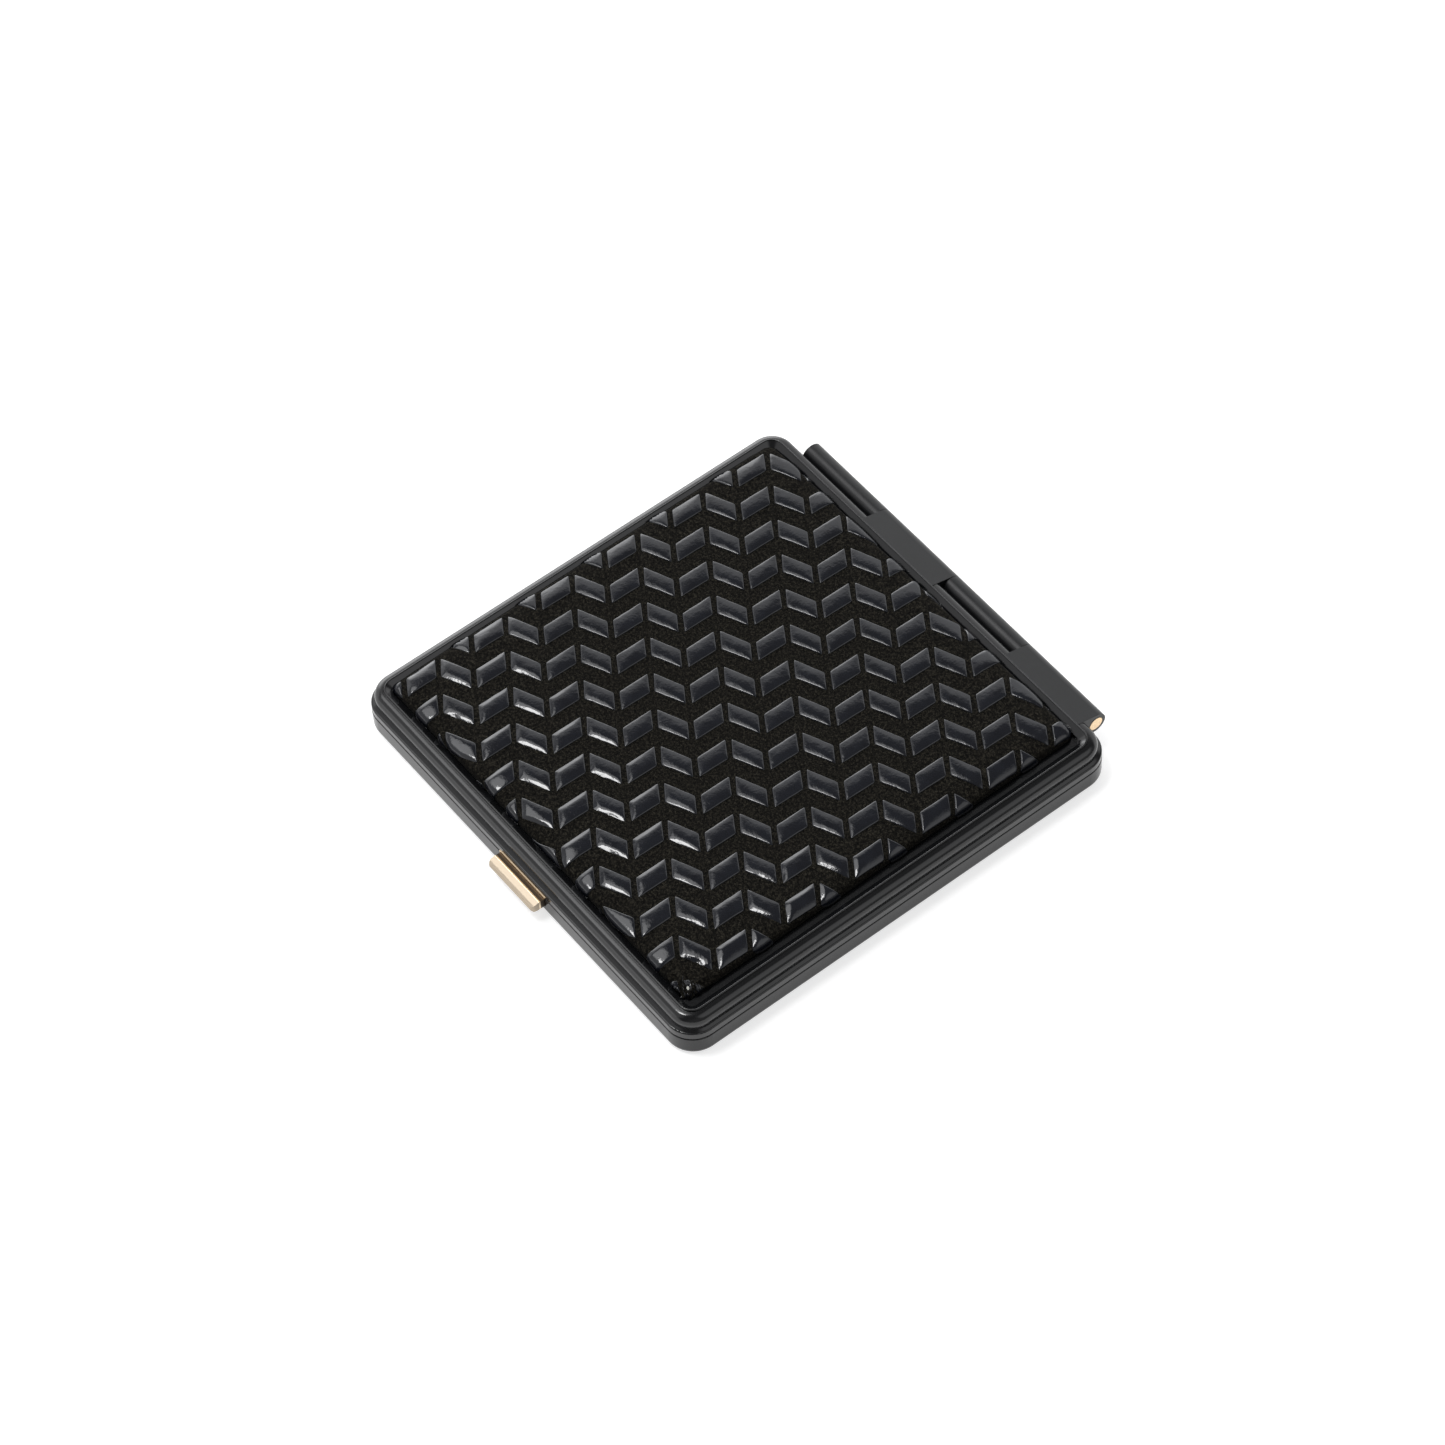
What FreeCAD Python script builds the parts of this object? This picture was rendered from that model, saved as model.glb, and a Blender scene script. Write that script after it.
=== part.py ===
"""Powder compact: a slim square hinged case with a padded lid, puff, pan and push latch.

Millimetres. Origin at the centre of the flat underside, +Z up, hinge at +Y, latch at -Y.
"""
import FreeCAD, Part
import math
import os

V = FreeCAD.Vector
os.makedirs("parts", exist_ok=True)

# Body outline
BASE_HALF = 37.5        # half width of the base wall
LID_HALF = 37.45        # half width of the lid wall
CORNER_R = 4.2          # vertical corner radius of the lid wall
ARC_CENTRE = LID_HALF - CORNER_R
BASE_TOP = 3.50         # top of the base wall
LID_BOTTOM = 3.60       # lower edge of the lid wall

# Base shell
BASE_INNER = 36.6
BASE_FLOOR = 0.6
BASE_EDGE_R = 1.0
BASE_LIP_R = 0.12
GROOVE_HALF = 32.5      # outer half width of the line pressed into the underside
GROOVE_WIDTH = 0.6
GROOVE_DEPTH = 0.15
FLOOR_PLATE_HALF = 33.65

# Lid shell, heights of its stepped rim
LIP_TOP = 4.85
LIP_EDGE_R = 0.22
CREASE_HALF = 36.85
CREASE_Z = 5.08
SHOULDER_R = 1.25
SHOULDER_Z = 6.0
CREST_HALF = 35.25
CREST_Z = 7.6
CREST_R = 0.13
SLOPE_FOOT_HALF = 34.2
SLOPE_FOOT_Z = 6.75
PLATE_TOP = 6.05
PLATE_BOTTOM = 5.5
LID_INNER = 36.4
LID_HOLLOW_R = 0.5

# Hinge
HINGE_Y = 38.75
HINGE_Z = 4.70
HINGE_X0 = -31.0
KNUCKLE_LENGTH = 15.75
KNUCKLE_GAP = 0.08
BARREL_R = 1.7
BARREL_CLEAR_R = 1.8
PIN_R = 1.1
PIN_BORE_R = 1.15
PIN_PROUD = 0.05

# Latch, centred on its own line
LATCH_X = 0.7
SLOT_HALF = 5.2
SLOT_BOTTOM = 1.7
THUMB_HALF = 5.05
CATCH_HALF = 5.15
CATCH_Z0 = 3.55
CATCH_Z1 = 3.80
LATCH_OPENING_HALF = 5.7
LATCH_OPENING_BACK = -33.4

# Inner tray
COLLAR_OUT = 35.9
COLLAR_IN = 35.3
DECK_TOP = 4.30
DECK_UNDER = 3.7
WELL_WALL = 0.6
WELL_Y0 = -30.3
WELL_Y1 = 32.3
PAN_X0 = -32.5
PAN_X1 = 5.0
PUFF_X0 = 7.5
PUFF_X1 = 32.5
WELL_R = 2.2

# Mirror set
GLASS_HALF = 32.5
GLASS_Z0 = 4.62
GLASS_Z1 = 5.34
GLASS_BEVEL = 0.35
FRAME_OUT = 35.6
FRAME_IN = 32.1
FRAME_Z0 = 4.45

# Padded lid panel
PANEL_X = -0.4
PANEL_Y = 0.1
PANEL_HALF_X = 33.1
PANEL_HALF_Y = 33.95
PANEL_R = 1.6
PANEL_TOP = 8.35
PANEL_DOME_R = 1500.0
PANEL_EDGE_R = 1.1
LEATHER_THICK = 0.55
BOARD_TOP = 6.75
SOFT_GAP = 0.03


def rounded_box(x0, x1, y0, y1, z0, z1, radius):
    """Upright box with rounded vertical corners."""
    box = Part.makeBox(x1 - x0, y1 - y0, z1 - z0, V(x0, y0, z0))
    upright = [e for e in box.Edges if abs(e.tangentAt(e.FirstParameter).z) > 0.99]
    return box.makeFillet(radius, upright)


def box(x0, x1, y0, y1, z0, z1):
    return Part.makeBox(x1 - x0, y1 - y0, z1 - z0, V(x0, y0, z0))


def square_plate(half, radius, z0, z1):
    return rounded_box(-half, half, -half, half, z0, z1, radius)


def prism(points, x0, x1):
    """Solid from (y, z) points, drawn out along X."""
    ring = [V(x0, y, z) for y, z in points]
    face = Part.Face(Part.makePolygon(ring + ring[:1]))
    return face.extrude(V(x1 - x0, 0, 0))


def rod(y, z, radius, x0, x1):
    return Part.makeCylinder(radius, x1 - x0, V(x0, y, z), V(1, 0, 0))


def rounded_ring(segments):
    """Sweep a closed (half width, z) profile round the body's rounded-square outline.

    Each segment is a list of two points for a line, or three for an arc through them.
    """
    edges = []
    for seg in segments:
        pts = [V(0, -p, z) for p, z in seg]
        if len(pts) == 2:
            edges.append(Part.LineSegment(pts[0], pts[1]).toShape())
        else:
            edges.append(Part.Arc(pts[0], pts[1], pts[2]).toShape())
    face = Part.Face(Part.Wire(edges))
    start = face.copy()
    start.translate(V(-ARC_CENTRE, 0, 0))
    straight = start.extrude(V(2 * ARC_CENTRE, 0, 0))
    corner_face = face.copy()
    corner_face.translate(V(ARC_CENTRE, 0, 0))
    corner = corner_face.revolve(V(ARC_CENTRE, -ARC_CENTRE, 0), V(0, 0, 1), 90)
    parts = []
    for quarter in range(4):
        for piece in (straight, corner):
            turned = piece.copy()
            turned.rotate(V(0, 0, 0), V(0, 0, 1), 90 * quarter)
            parts.append(turned)
    return parts[0].fuse(parts[1:]).removeSplitter()


def arc_point(cy, cz, radius, degrees):
    a = math.radians(degrees)
    return (cy + radius * math.cos(a), cz + radius * math.sin(a))


def single(shape):
    """The one solid of a boolean result."""
    if len(shape.Solids) != 1:
        raise RuntimeError("expected one solid, got %d" % len(shape.Solids))
    return shape.Solids[0]


def save(shape, node):
    if not shape.isValid():
        raise RuntimeError(node + " is not valid")
    shape.exportStep("parts/%s.step" % node)


def knuckle_span(index):
    x0 = HINGE_X0 + index * KNUCKLE_LENGTH
    low = x0 if index == 0 else x0 + KNUCKLE_GAP / 2
    high = x0 + KNUCKLE_LENGTH
    if index < 3:
        high -= KNUCKLE_GAP / 2
    return low, high


# ---------------------------------------------------------------- base shell
base_profile = [
    [(FLOOR_PLATE_HALF, 0), (BASE_HALF - BASE_EDGE_R, 0)],
    [(BASE_HALF - BASE_EDGE_R, 0), arc_point(BASE_HALF - BASE_EDGE_R, BASE_EDGE_R, BASE_EDGE_R, -45),
     (BASE_HALF, BASE_EDGE_R)],
    [(BASE_HALF, BASE_EDGE_R), (BASE_HALF, BASE_TOP - BASE_LIP_R)],
    [(BASE_HALF, BASE_TOP - BASE_LIP_R),
     arc_point(BASE_HALF - BASE_LIP_R, BASE_TOP - BASE_LIP_R, BASE_LIP_R, 45),
     (BASE_HALF - BASE_LIP_R, BASE_TOP)],
    [(BASE_HALF - BASE_LIP_R, BASE_TOP), (BASE_INNER, BASE_TOP)],
    [(BASE_INNER, BASE_TOP), (BASE_INNER, BASE_FLOOR)],
    [(BASE_INNER, BASE_FLOOR), (FLOOR_PLATE_HALF, BASE_FLOOR)],
    [(FLOOR_PLATE_HALF, BASE_FLOOR), (FLOOR_PLATE_HALF, 0)],
]
floor_r = CORNER_R - (LID_HALF - FLOOR_PLATE_HALF)
base_shell = rounded_ring(base_profile).fuse(square_plate(FLOOR_PLATE_HALF, floor_r, 0, BASE_FLOOR))
base_shell = base_shell.removeSplitter()
groove = square_plate(GROOVE_HALF, 1.5, -1.0, GROOVE_DEPTH)
groove = groove.cut(square_plate(GROOVE_HALF - GROOVE_WIDTH, 0.9, -2.0, 1.0))
base_shell = base_shell.cut(groove)
slot = box(LATCH_X - SLOT_HALF, LATCH_X + SLOT_HALF, -BASE_HALF - 1, -BASE_INNER + 0.5, SLOT_BOTTOM,
           BASE_TOP + 1)
base_shell = base_shell.cut(slot)
for index in (1, 3):
    low, high = knuckle_span(index)
    base_shell = base_shell.cut(rod(HINGE_Y, HINGE_Z, BARREL_CLEAR_R, low - 0.1, high + 0.1))

# ---------------------------------------------------------------- lid shell
crest_in = CREST_HALF - CREST_R
crest_out = CREST_HALF + CREST_R
shoulder_half = CREASE_HALF - SHOULDER_R
shoulder_top = SHOULDER_Z + SHOULDER_R
lid_profile = [
    [(LID_INNER, LID_BOTTOM), (LID_HALF - BASE_LIP_R, LID_BOTTOM)],
    [(LID_HALF - BASE_LIP_R, LID_BOTTOM),
     arc_point(LID_HALF - BASE_LIP_R, LID_BOTTOM + BASE_LIP_R, BASE_LIP_R, -45),
     (LID_HALF, LID_BOTTOM + BASE_LIP_R)],
    [(LID_HALF, LID_BOTTOM + BASE_LIP_R), (LID_HALF, LIP_TOP - LIP_EDGE_R)],
    [(LID_HALF, LIP_TOP - LIP_EDGE_R), arc_point(LID_HALF - LIP_EDGE_R, LIP_TOP - LIP_EDGE_R, LIP_EDGE_R, 40),
     (LID_HALF - LIP_EDGE_R, LIP_TOP)],
    [(LID_HALF - LIP_EDGE_R, LIP_TOP), (CREASE_HALF, CREASE_Z)],
    [(CREASE_HALF, CREASE_Z), (CREASE_HALF, SHOULDER_Z)],
    [(CREASE_HALF, SHOULDER_Z), arc_point(shoulder_half, SHOULDER_Z, SHOULDER_R, 45),
     (shoulder_half, shoulder_top)],
    [(shoulder_half, shoulder_top), (crest_out, shoulder_top + 0.02)],
    [(crest_out, shoulder_top + 0.02), (crest_out, CREST_Z - CREST_R)],
    [(crest_out, CREST_Z - CREST_R), (CREST_HALF, CREST_Z), (crest_in, CREST_Z - CREST_R)],
    [(crest_in, CREST_Z - CREST_R), (SLOPE_FOOT_HALF, SLOPE_FOOT_Z)],
    [(SLOPE_FOOT_HALF, SLOPE_FOOT_Z), (SLOPE_FOOT_HALF, PLATE_TOP)],
    [(SLOPE_FOOT_HALF, PLATE_TOP), (FLOOR_PLATE_HALF, PLATE_TOP)],
    [(FLOOR_PLATE_HALF, PLATE_TOP), (FLOOR_PLATE_HALF, PLATE_BOTTOM)],
    [(FLOOR_PLATE_HALF, PLATE_BOTTOM), (LID_INNER - LID_HOLLOW_R, PLATE_BOTTOM)],
    [(LID_INNER - LID_HOLLOW_R, PLATE_BOTTOM),
     arc_point(LID_INNER - LID_HOLLOW_R, PLATE_BOTTOM - LID_HOLLOW_R, LID_HOLLOW_R, 45),
     (LID_INNER, PLATE_BOTTOM - LID_HOLLOW_R)],
    [(LID_INNER, PLATE_BOTTOM - LID_HOLLOW_R), (LID_INNER, LID_BOTTOM)],
]
lid_shell = rounded_ring(lid_profile).fuse(square_plate(FLOOR_PLATE_HALF, floor_r, PLATE_BOTTOM, PLATE_TOP))
lid_shell = lid_shell.removeSplitter()
for index in (0, 2):
    low, high = knuckle_span(index)
    lid_shell = lid_shell.cut(rod(HINGE_Y, HINGE_Z, BARREL_CLEAR_R, low - 0.1, high + 0.1))
for index in (1, 3):
    low, high = knuckle_span(index)
    lid_shell = lid_shell.cut(rod(HINGE_Y, HINGE_Z, BARREL_R, low, high))
lid_shell = lid_shell.cut(box(LATCH_X - CATCH_HALF, LATCH_X + CATCH_HALF, -LID_HALF - 1, -LID_INNER + 1,
                              LID_BOTTOM - 1, CATCH_Z1))

# ---------------------------------------------------------------- hinge
LEAF_RISE = 0.17        # leaf's start above the shoulder, beside the crest
leaf_y = crest_out
leaf_z = shoulder_top + LEAF_RISE
leaf_reach = math.hypot(HINGE_Y - leaf_y, HINGE_Z - leaf_z)
leaf_slope = math.atan2(HINGE_Z - leaf_z, HINGE_Y - leaf_y) + math.asin(BARREL_R / leaf_reach)
top_y, top_z = arc_point(HINGE_Y, HINGE_Z, BARREL_R, math.degrees(leaf_slope) + 90)


def bored(shape, low, high):
    return single(shape.cut(rod(HINGE_Y, HINGE_Z, PIN_BORE_R, low - 1, high + 1)))


def base_knuckle(index):
    """Barrel on a leaf that stands on the back wall of the base."""
    low, high = knuckle_span(index)
    toe_y, toe_z = arc_point(HINGE_Y, HINGE_Z, BARREL_R, -72)
    web = prism([(BASE_HALF, 1.2), (BASE_HALF + 0.55, 1.2), (toe_y, toe_z), (HINGE_Y, HINGE_Z),
                 (BASE_HALF, BASE_TOP - 0.02)], low, high)
    barrel = rod(HINGE_Y, HINGE_Z, BARREL_R, low, high)
    return bored(barrel.fuse(web).cut(base_shell).removeSplitter(), low, high)


def lid_knuckle(index):
    """Barrel on a leaf that runs down from the rim's crest."""
    low, high = knuckle_span(index)
    web = prism([(leaf_y, shoulder_top - 0.05), (leaf_y, leaf_z), (top_y, top_z),
                 (HINGE_Y, HINGE_Z), (LID_HALF - 0.4, HINGE_Z), (CREASE_HALF - 0.2, CREASE_Z + 0.2),
                 (shoulder_half, SHOULDER_Z)], low, high)
    barrel = rod(HINGE_Y, HINGE_Z, BARREL_R, low, high)
    return bored(barrel.fuse(web).cut(lid_shell).removeSplitter(), low, high)


hinge_end = HINGE_X0 + 4 * KNUCKLE_LENGTH
hinge_pin = rod(HINGE_Y, HINGE_Z, PIN_R, HINGE_X0 - PIN_PROUD, hinge_end + PIN_PROUD)

# ---------------------------------------------------------------- inner tray
collar_r = CORNER_R - (LID_HALF - COLLAR_OUT)
tray = square_plate(COLLAR_OUT, collar_r, BASE_FLOOR, DECK_TOP)
tray = tray.cut(square_plate(COLLAR_IN, collar_r - (COLLAR_OUT - COLLAR_IN), BASE_FLOOR - 1, DECK_UNDER))
for x0, x1 in ((PAN_X0, PAN_X1), (PUFF_X0, PUFF_X1)):
    tray = tray.fuse(rounded_box(x0 - WELL_WALL, x1 + WELL_WALL, WELL_Y0 - WELL_WALL, WELL_Y1 + WELL_WALL,
                                 BASE_FLOOR, DECK_TOP, WELL_R + WELL_WALL))
for x0, x1 in ((PAN_X0, PAN_X1), (PUFF_X0, PUFF_X1)):
    tray = tray.cut(rounded_box(x0, x1, WELL_Y0, WELL_Y1, -1, DECK_TOP + 1, WELL_R))
tray = tray.removeSplitter()
deck_rim = [e for e in tray.Edges
            if abs(e.CenterOfMass.z - DECK_TOP) < 1e-4 and abs(e.BoundBox.ZLength) < 1e-4]
tray = tray.makeFillet(0.22, deck_rim)
tray = tray.cut(box(LATCH_X - LATCH_OPENING_HALF, LATCH_X + LATCH_OPENING_HALF, -COLLAR_OUT - 1,
                    LATCH_OPENING_BACK, BASE_FLOOR - 1, DECK_TOP + 1))
tray = single(tray)

# ---------------------------------------------------------------- powder and puff
PAN_GAP = 0.15
PAN_WALL = 0.35
PAN_Z0 = 0.75
PAN_Z1 = 3.3
CAKE_TOP = 3.55
pan_x0 = PAN_X0 + PAN_GAP
pan_x1 = PAN_X1 - PAN_GAP
pan_y0 = WELL_Y0 + PAN_GAP
pan_y1 = WELL_Y1 - PAN_GAP
pan_r = WELL_R - PAN_GAP
powder_pan = rounded_box(pan_x0, pan_x1, pan_y0, pan_y1, PAN_Z0, PAN_Z1, pan_r)
cake_box = rounded_box(pan_x0 + PAN_WALL, pan_x1 - PAN_WALL, pan_y0 + PAN_WALL, pan_y1 - PAN_WALL,
                       PAN_Z0 + PAN_WALL, CAKE_TOP, pan_r - PAN_WALL)
powder_pan = powder_pan.cut(cake_box)
cake_rim = [e for e in cake_box.Edges if abs(e.CenterOfMass.z - CAKE_TOP) < 1e-4]
powder_cake = cake_box.makeFillet(0.45, cake_rim)
pan_cx = (pan_x0 + pan_x1) / 2
pan_cy = (pan_y0 + pan_y1) / 2
pan_glue_pad = rounded_box(pan_cx - 14, pan_cx + 14, pan_cy - 25, pan_cy + 25, BASE_FLOOR, PAN_Z0, 3.0)

PUFF_GAP = 0.4
PUFF_Z0 = 0.68
PUFF_Z1 = 3.98
RIBBON_THICK = 0.14
RIBBON_HALF = 6.0
RIBBON_TUCK = 1.6
puff_x0 = PUFF_X0 + PUFF_GAP
puff_x1 = PUFF_X1 - PUFF_GAP
puff_y0 = WELL_Y0 + PUFF_GAP
puff_y1 = WELL_Y1 - PUFF_GAP
puff_body = rounded_box(puff_x0, puff_x1, puff_y0, puff_y1, PUFF_Z0, PUFF_Z1, 4.0)
puff_rims = [e for e in puff_body.Edges if abs(e.BoundBox.ZLength) < 1e-4]
puff_body = puff_body.makeFillet(1.1, puff_rims)
puff_cy = (puff_y0 + puff_y1) / 2
band_outer = box(puff_x0 - RIBBON_THICK, puff_x1 + RIBBON_THICK, puff_cy - RIBBON_HALF, puff_cy + RIBBON_HALF,
                 RIBBON_TUCK, PUFF_Z1 + RIBBON_THICK)
band_edges = [e for e in band_outer.Edges
              if abs(e.CenterOfMass.z - PUFF_Z1 - RIBBON_THICK) < 1e-4 and e.BoundBox.XLength < 1e-4]
puff_ribbon = band_outer.makeFillet(1.1 + RIBBON_THICK, band_edges).cut(puff_body)
puff_ribbon = single(puff_ribbon)

# ---------------------------------------------------------------- latch
BRACKET_Z1 = 0.70
BAR_Z0 = 0.75
BAR_Z1 = 1.25
BAR_HALF = 4.0
RAIL_GAP = 0.05
RAIL_OUT = 4.75
RAIL_TOP = 1.42
LIP_OVER = 0.55
BRACKET_Y0 = -35.1
BRACKET_Y1 = -33.4
EAR_OUT = 6.9
RIVET_X = 5.9
RIVET_R = 0.45
RIVET_HEAD_R = 0.75
RIVET_ROOT = 0.3

ear = box(LATCH_X - EAR_OUT, LATCH_X + EAR_OUT, BRACKET_Y0, BRACKET_Y1, BASE_FLOOR, BRACKET_Z1)
latch_bracket = ear
for side in (-1, 1):
    rail_in = LATCH_X + side * (BAR_HALF + RAIL_GAP)
    rail_out = LATCH_X + side * RAIL_OUT
    lip_in = LATCH_X + side * (BAR_HALF - LIP_OVER)
    latch_bracket = latch_bracket.fuse(box(min(rail_in, rail_out), max(rail_in, rail_out),
                                           BRACKET_Y0, BRACKET_Y1, BASE_FLOOR, RAIL_TOP))
    latch_bracket = latch_bracket.fuse(box(min(lip_in, rail_out), max(lip_in, rail_out),
                                           BRACKET_Y0, BRACKET_Y1, BAR_Z1 + RAIL_GAP, RAIL_TOP))
latch_bracket = latch_bracket.removeSplitter()

rivet_y = (BRACKET_Y0 + BRACKET_Y1) / 2
base_rivets = []
for side in (-1, 1):
    x = LATCH_X + side * RIVET_X
    shank = Part.makeCylinder(RIVET_R, BRACKET_Z1 - RIVET_ROOT, V(x, rivet_y, RIVET_ROOT))
    base_shell = base_shell.cut(shank)
    latch_bracket = latch_bracket.cut(shank)
    head = Part.makeCylinder(RIVET_HEAD_R, 0.28, V(x, rivet_y, BRACKET_Z1))
    head = head.makeFillet(0.15, [e for e in head.Edges if abs(e.CenterOfMass.z - BRACKET_Z1 - 0.28) < 1e-4])
    base_rivets.append(single(shank.fuse(head).removeSplitter()))
latch_bracket = single(latch_bracket)
base_shell = single(base_shell)

THUMB_INNER_Y = -36.3
thumb_section = [(THUMB_INNER_Y, 3.42), (-38.25, 3.42), (-38.4, 3.5), (-38.55, 3.46), (-39.3, 3.28),
                 (-39.62, 3.08), (-39.78, 2.75), (-39.7, 2.35), (-39.4, 2.0), (-38.7, 1.84),
                 (THUMB_INNER_Y, 1.8)]
thumb_piece = prism(thumb_section, LATCH_X - THUMB_HALF, LATCH_X + THUMB_HALF)
thumb_trim = rounded_box(LATCH_X - THUMB_HALF, LATCH_X + THUMB_HALF, -39.9, THUMB_INNER_Y + 3, 0, 5, 0.9)
thumb_piece = single(thumb_piece.common(thumb_trim))

NOSE_TIP = -34.0
POST_Y0 = -33.3
POST_Y1 = -32.8
bar = box(LATCH_X - BAR_HALF, LATCH_X + BAR_HALF, THUMB_INNER_Y + 0.4, POST_Y1, BAR_Z0, BAR_Z1)
front_post = box(LATCH_X - BAR_HALF, LATCH_X + BAR_HALF, THUMB_INNER_Y, THUMB_INNER_Y + 0.5, BAR_Z0, 3.2)
back_post = box(LATCH_X - 3.0, LATCH_X + 3.0, POST_Y0, POST_Y1, BAR_Z0, 2.95)
nose = prism([(POST_Y0 + 0.1, 2.5), (NOSE_TIP, 2.5), (NOSE_TIP, 2.62), (POST_Y0 + 0.1, 2.95)],
             LATCH_X - 3.0, LATCH_X + 3.0)
latch_bar = bar.fuse([front_post, back_post, nose]).removeSplitter()
latch_bar = single(latch_bar)

SPRING_HALF = 3.6
SPRING_T = 0.14
SPRING_Y_END = WELL_Y0 - WELL_WALL - 0.02
SPRING_Y_MID = POST_Y1 + 0.02
spring_arc_out = Part.Arc(V(LATCH_X - SPRING_HALF, SPRING_Y_END, 1.6), V(LATCH_X, SPRING_Y_MID + SPRING_T, 1.6),
                          V(LATCH_X + SPRING_HALF, SPRING_Y_END, 1.6)).toShape()
spring_arc_in = Part.Arc(V(LATCH_X - SPRING_HALF, SPRING_Y_END - SPRING_T, 1.6), V(LATCH_X, SPRING_Y_MID, 1.6),
                         V(LATCH_X + SPRING_HALF, SPRING_Y_END - SPRING_T, 1.6)).toShape()
spring_ends = [Part.LineSegment(V(LATCH_X + s * SPRING_HALF, SPRING_Y_END, 1.6),
                                V(LATCH_X + s * SPRING_HALF, SPRING_Y_END - SPRING_T, 1.6)).toShape()
               for s in (-1, 1)]
spring_wire = Part.Wire(Part.__sortEdges__([spring_arc_out, spring_ends[1], spring_arc_in, spring_ends[0]]))
latch_spring = Part.Face(spring_wire).extrude(V(0, 0, 1.1))

# ---------------------------------------------------------------- lid catch
HOOK_Y0 = -35.05
HOOK_Y1 = -34.7
BARB_TIP = -34.1
CATCH_FLANGE_Y = -LID_INNER
CATCH_T = 0.3
HOOK_HALF = 3.0
strip = box(LATCH_X - CATCH_HALF, LATCH_X + CATCH_HALF, -LID_HALF - 0.1, HOOK_Y1, CATCH_Z0, CATCH_Z1)
flange = box(LATCH_X - CATCH_HALF + 0.4, LATCH_X + CATCH_HALF - 0.4, CATCH_FLANGE_Y, CATCH_FLANGE_Y + CATCH_T,
             CATCH_Z1 - 0.1, 4.95)
tongue = box(LATCH_X - HOOK_HALF, LATCH_X + HOOK_HALF, HOOK_Y0, HOOK_Y1, 1.7, CATCH_Z1)
barb = prism([(HOOK_Y0 + 0.1, 1.7), (HOOK_Y1 + 0.1, 1.7), (BARB_TIP, 2.15), (BARB_TIP, 2.3),
              (HOOK_Y0 + 0.1, 2.3)], LATCH_X - HOOK_HALF, LATCH_X + HOOK_HALF)
lid_catch = strip.fuse([flange, tongue, barb]).removeSplitter()

catch_rivets = []
CATCH_RIVET_X = 3.4
CATCH_RIVET_Z = 4.45
for side in (-1, 1):
    x = LATCH_X + side * CATCH_RIVET_X
    shank = Part.makeCylinder(0.4, 0.6 + CATCH_T, V(x, CATCH_FLANGE_Y - 0.6, CATCH_RIVET_Z), V(0, 1, 0))
    lid_shell = lid_shell.cut(shank)
    lid_catch = lid_catch.cut(shank)
    head = Part.makeCylinder(0.6, 0.2, V(x, CATCH_FLANGE_Y + CATCH_T, CATCH_RIVET_Z), V(0, 1, 0))
    catch_rivets.append(single(shank.fuse(head).removeSplitter()))
lid_catch = single(lid_catch)
lid_shell = single(lid_shell)

# ---------------------------------------------------------------- mirror set
frame_r = 2.0
mirror_frame = square_plate(FRAME_OUT, frame_r, FRAME_Z0, PLATE_BOTTOM)
mirror_frame = mirror_frame.cut(square_plate(FRAME_IN, 1.0, FRAME_Z0 - 1, PLATE_BOTTOM + 1))
mirror_frame = mirror_frame.cut(square_plate(GLASS_HALF + 0.05, 1.2, GLASS_Z0 - 0.02, PLATE_BOTTOM + 1))
frame_rim = [e for e in mirror_frame.Edges
             if abs(e.CenterOfMass.z - FRAME_Z0) < 1e-4 and e.BoundBox.ZLength < 1e-4]
mirror_frame = mirror_frame.makeFillet(0.1, frame_rim)
mirror_pad = square_plate(GLASS_HALF - 0.5, 1.0, GLASS_Z1, PLATE_BOTTOM)
mirror_glass = square_plate(GLASS_HALF, 1.2, GLASS_Z0, GLASS_Z1)
glass_rim = [e for e in mirror_glass.Edges if abs(e.CenterOfMass.z - GLASS_Z0) < 1e-4]
mirror_glass = mirror_glass.makeChamfer(GLASS_BEVEL, glass_rim)

BUMPER_XY = 33.95
BUMPER_R = 0.9
BUMPER_Z0 = DECK_TOP + 0.02
BUMPER_SEAT = FRAME_Z0 + 0.12
bumpers = []
for sx, sy in ((-1, -1), (1, -1), (1, 1), (-1, 1)):
    dot = Part.makeCylinder(BUMPER_R, BUMPER_SEAT - BUMPER_Z0, V(sx * BUMPER_XY, sy * BUMPER_XY, BUMPER_Z0))
    mirror_frame = mirror_frame.cut(dot)
    bumpers.append(dot)
mirror_frame = single(mirror_frame)

# ---------------------------------------------------------------- padded lid panel
px0 = PANEL_X - PANEL_HALF_X
px1 = PANEL_X + PANEL_HALF_X
py0 = PANEL_Y - PANEL_HALF_Y
py1 = PANEL_Y + PANEL_HALF_Y


def domed_pad(inset, z0, top):
    """Pad with a slightly domed top and a rolled upper edge."""
    block = rounded_box(px0 + inset, px1 - inset, py0 + inset, py1 - inset, z0, top + 1, PANEL_R - 0.5 * inset)
    ball = Part.makeSphere(PANEL_DOME_R, V(PANEL_X, PANEL_Y, top - PANEL_DOME_R), V(0, 0, 1), 80, 90, 360)
    bowl = single(block.common(ball))
    rim = [e for e in bowl.Edges if e.BoundBox.ZMin > top - 1.5 and e.BoundBox.ZLength < 0.9]
    return bowl.makeFillet(PANEL_EDGE_R - 0.5 * inset, rim)


inner_inset = LEATHER_THICK + SOFT_GAP
leather_block = domed_pad(0.0, PLATE_TOP + 0.02, PANEL_TOP)
leather_core = domed_pad(LEATHER_THICK, PLATE_TOP - 1.0, PANEL_TOP - LEATHER_THICK)
panel_leather = single(leather_block.cut(leather_core))
pad_core = domed_pad(inner_inset, PLATE_TOP, PANEL_TOP - inner_inset)
panel_board = single(pad_core.common(box(-50, 50, -50, 50, PLATE_TOP, BOARD_TOP)))
panel_foam = single(pad_core.common(box(-50, 50, -50, 50, BOARD_TOP, 20)))

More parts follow.
